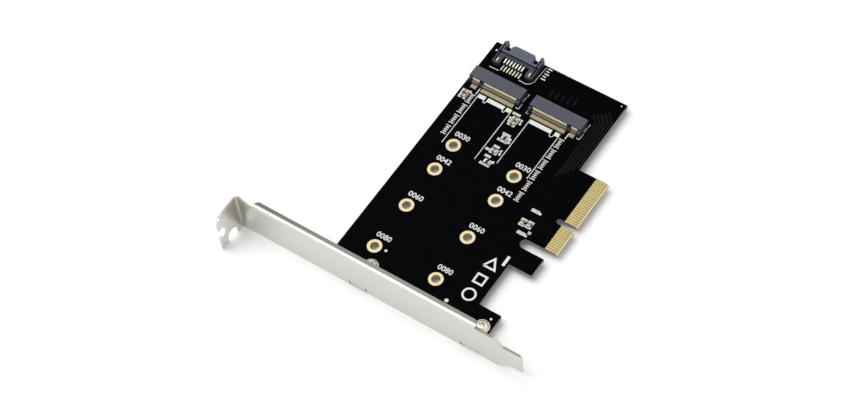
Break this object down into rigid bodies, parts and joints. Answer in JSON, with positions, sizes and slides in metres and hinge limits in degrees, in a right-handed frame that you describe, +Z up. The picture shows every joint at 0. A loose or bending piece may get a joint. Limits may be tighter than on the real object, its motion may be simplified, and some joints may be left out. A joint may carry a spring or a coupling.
{
  "type": "nvme adapter card",
  "caption": "Expansion card with a tall metal slot bracket, two edge sockets for drive modules, a cable header and gold edge contacts.",
  "frame": {"origin": "middle of the card's length and width, on the plane that its bracket edge and header pegs stand on", "axes": "+X along the slot bracket from the flange to the narrow tip and out of the edge contacts, +Y from the bracket towards the cable header, +Z up out of the component face"},
  "size_m": [0.12, 0.1252, 0.0184],
  "materials": {
    "solder_mask": "satin black solder mask",
    "gold": "thin gold plating",
    "connector_plastic": "moulded slate grey plastic",
    "tinned_metal": "matt tin",
    "bracket_steel": "satin zinc-plated steel",
    "screw_nickel": "nickel-plated",
    "capacitor_ceramic": "tan ceramic",
    "resistor_body": "black glaze"
  },
  "bodies": {
    "root": {"bracket_screws": "screw_nickel", "cable_header_board_locks": "tinned_metal", "cable_header_contacts": "gold", "cable_header_housing": "connector_plastic", "capacitor_bodies": "capacitor_ceramic", "capacitor_end_caps": "tinned_metal", "circuit_board": "solder_mask", "edge_contacts_bottom": "gold", "edge_contacts_top": "gold", "left_socket_hold_downs": "tinned_metal", "left_socket_housing": "connector_plastic", "left_socket_lower_contacts": "gold", "left_socket_upper_contacts": "gold", "module_hole_platings": "gold", "resistor_bodies": "resistor_body", "resistor_end_caps": "tinned_metal", "right_socket_hold_downs": "tinned_metal", "right_socket_housing": "connector_plastic", "right_socket_lower_contacts": "gold", "right_socket_upper_contacts": "gold", "slot_bracket": "bracket_steel", "test_pad": "gold"}
  },
  "joints": []
}
